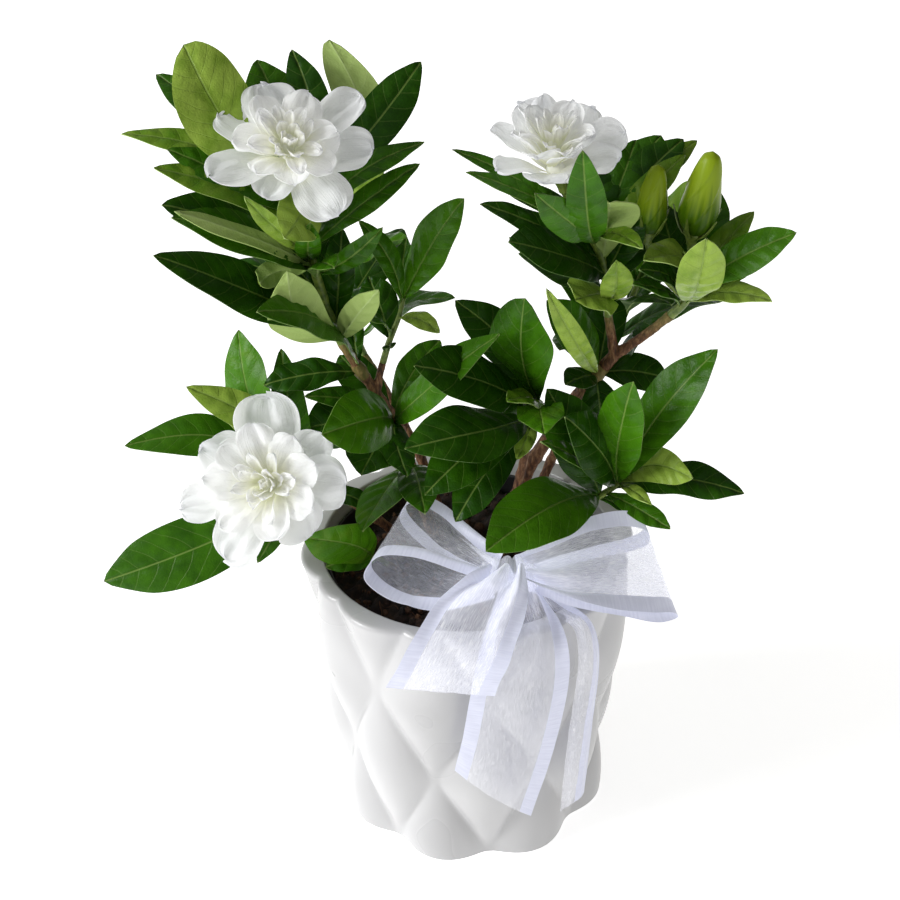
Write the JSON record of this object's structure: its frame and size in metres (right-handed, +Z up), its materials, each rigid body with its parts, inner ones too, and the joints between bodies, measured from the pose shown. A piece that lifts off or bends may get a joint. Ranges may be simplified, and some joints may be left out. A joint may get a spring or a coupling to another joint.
{
  "type": "potted gardenia",
  "caption": "Flowering gardenia with white double blooms and buds, in a quilted white ceramic pot tied with a sheer white ribbon bow; it rests on the pot's flat underside.",
  "frame": {"origin": "centre of the pot's underside, on the surface that it stands on", "axes": "+Z up; -Y is the front, where the bow hangs over the pot's rim; +X is to the right seen from the front"},
  "size_m": [0.295, 0.1834, 0.373],
  "materials": {
    "ceramic": "satin white glaze",
    "black_plastic": "thin matte nursery plastic",
    "soil": "damp dark potting soil, crumbly",
    "bark": "thin grey-brown bark",
    "leaf": "glossy dark green leaf with a paler matt underside",
    "petal": "soft matt white petal, cream towards the heart",
    "bud": "waxy yellow-green furled petals",
    "organza": "sheer white organza with satin edges"
  },
  "bodies": {
    "root": {"pot": "ceramic", "grow_pot": "black_plastic", "soil": "soil", "stem_left": "bark", "stem_right": "bark", "stem_centre": "bark", "stem_low_left": "bark", "stem_low_right": "bark", "stem_front_left": "bark", "stem_back_left": "bark", "stem_back_right": "bark", "crown_left": "leaf", "shoot_left_side": "leaf", "whorl_left_upper": "leaf", "whorl_left_lower": "leaf", "whorl_left_low": "leaf", "shoot_low_left": "leaf", "shoot_front_left": "leaf", "shoot_centre": "leaf", "shoot_right_low": "leaf", "whorl_right": "leaf", "crown_right_bloom": "leaf", "crown_right_buds": "leaf", "shoot_back_left": "leaf", "shoot_back_right": "leaf", "bloom_upper_left": "petal", "bloom_upper_right": "petal", "bloom_low_left": "petal", "bud_large": "bud", "bud_small": "bud", "bow_knot": "organza", "bow_loop_left": "organza", "bow_loop_right": "organza", "bow_tail_left": "organza", "bow_tail_front": "organza", "bow_tail_right": "organza"}
  },
  "joints": []
}
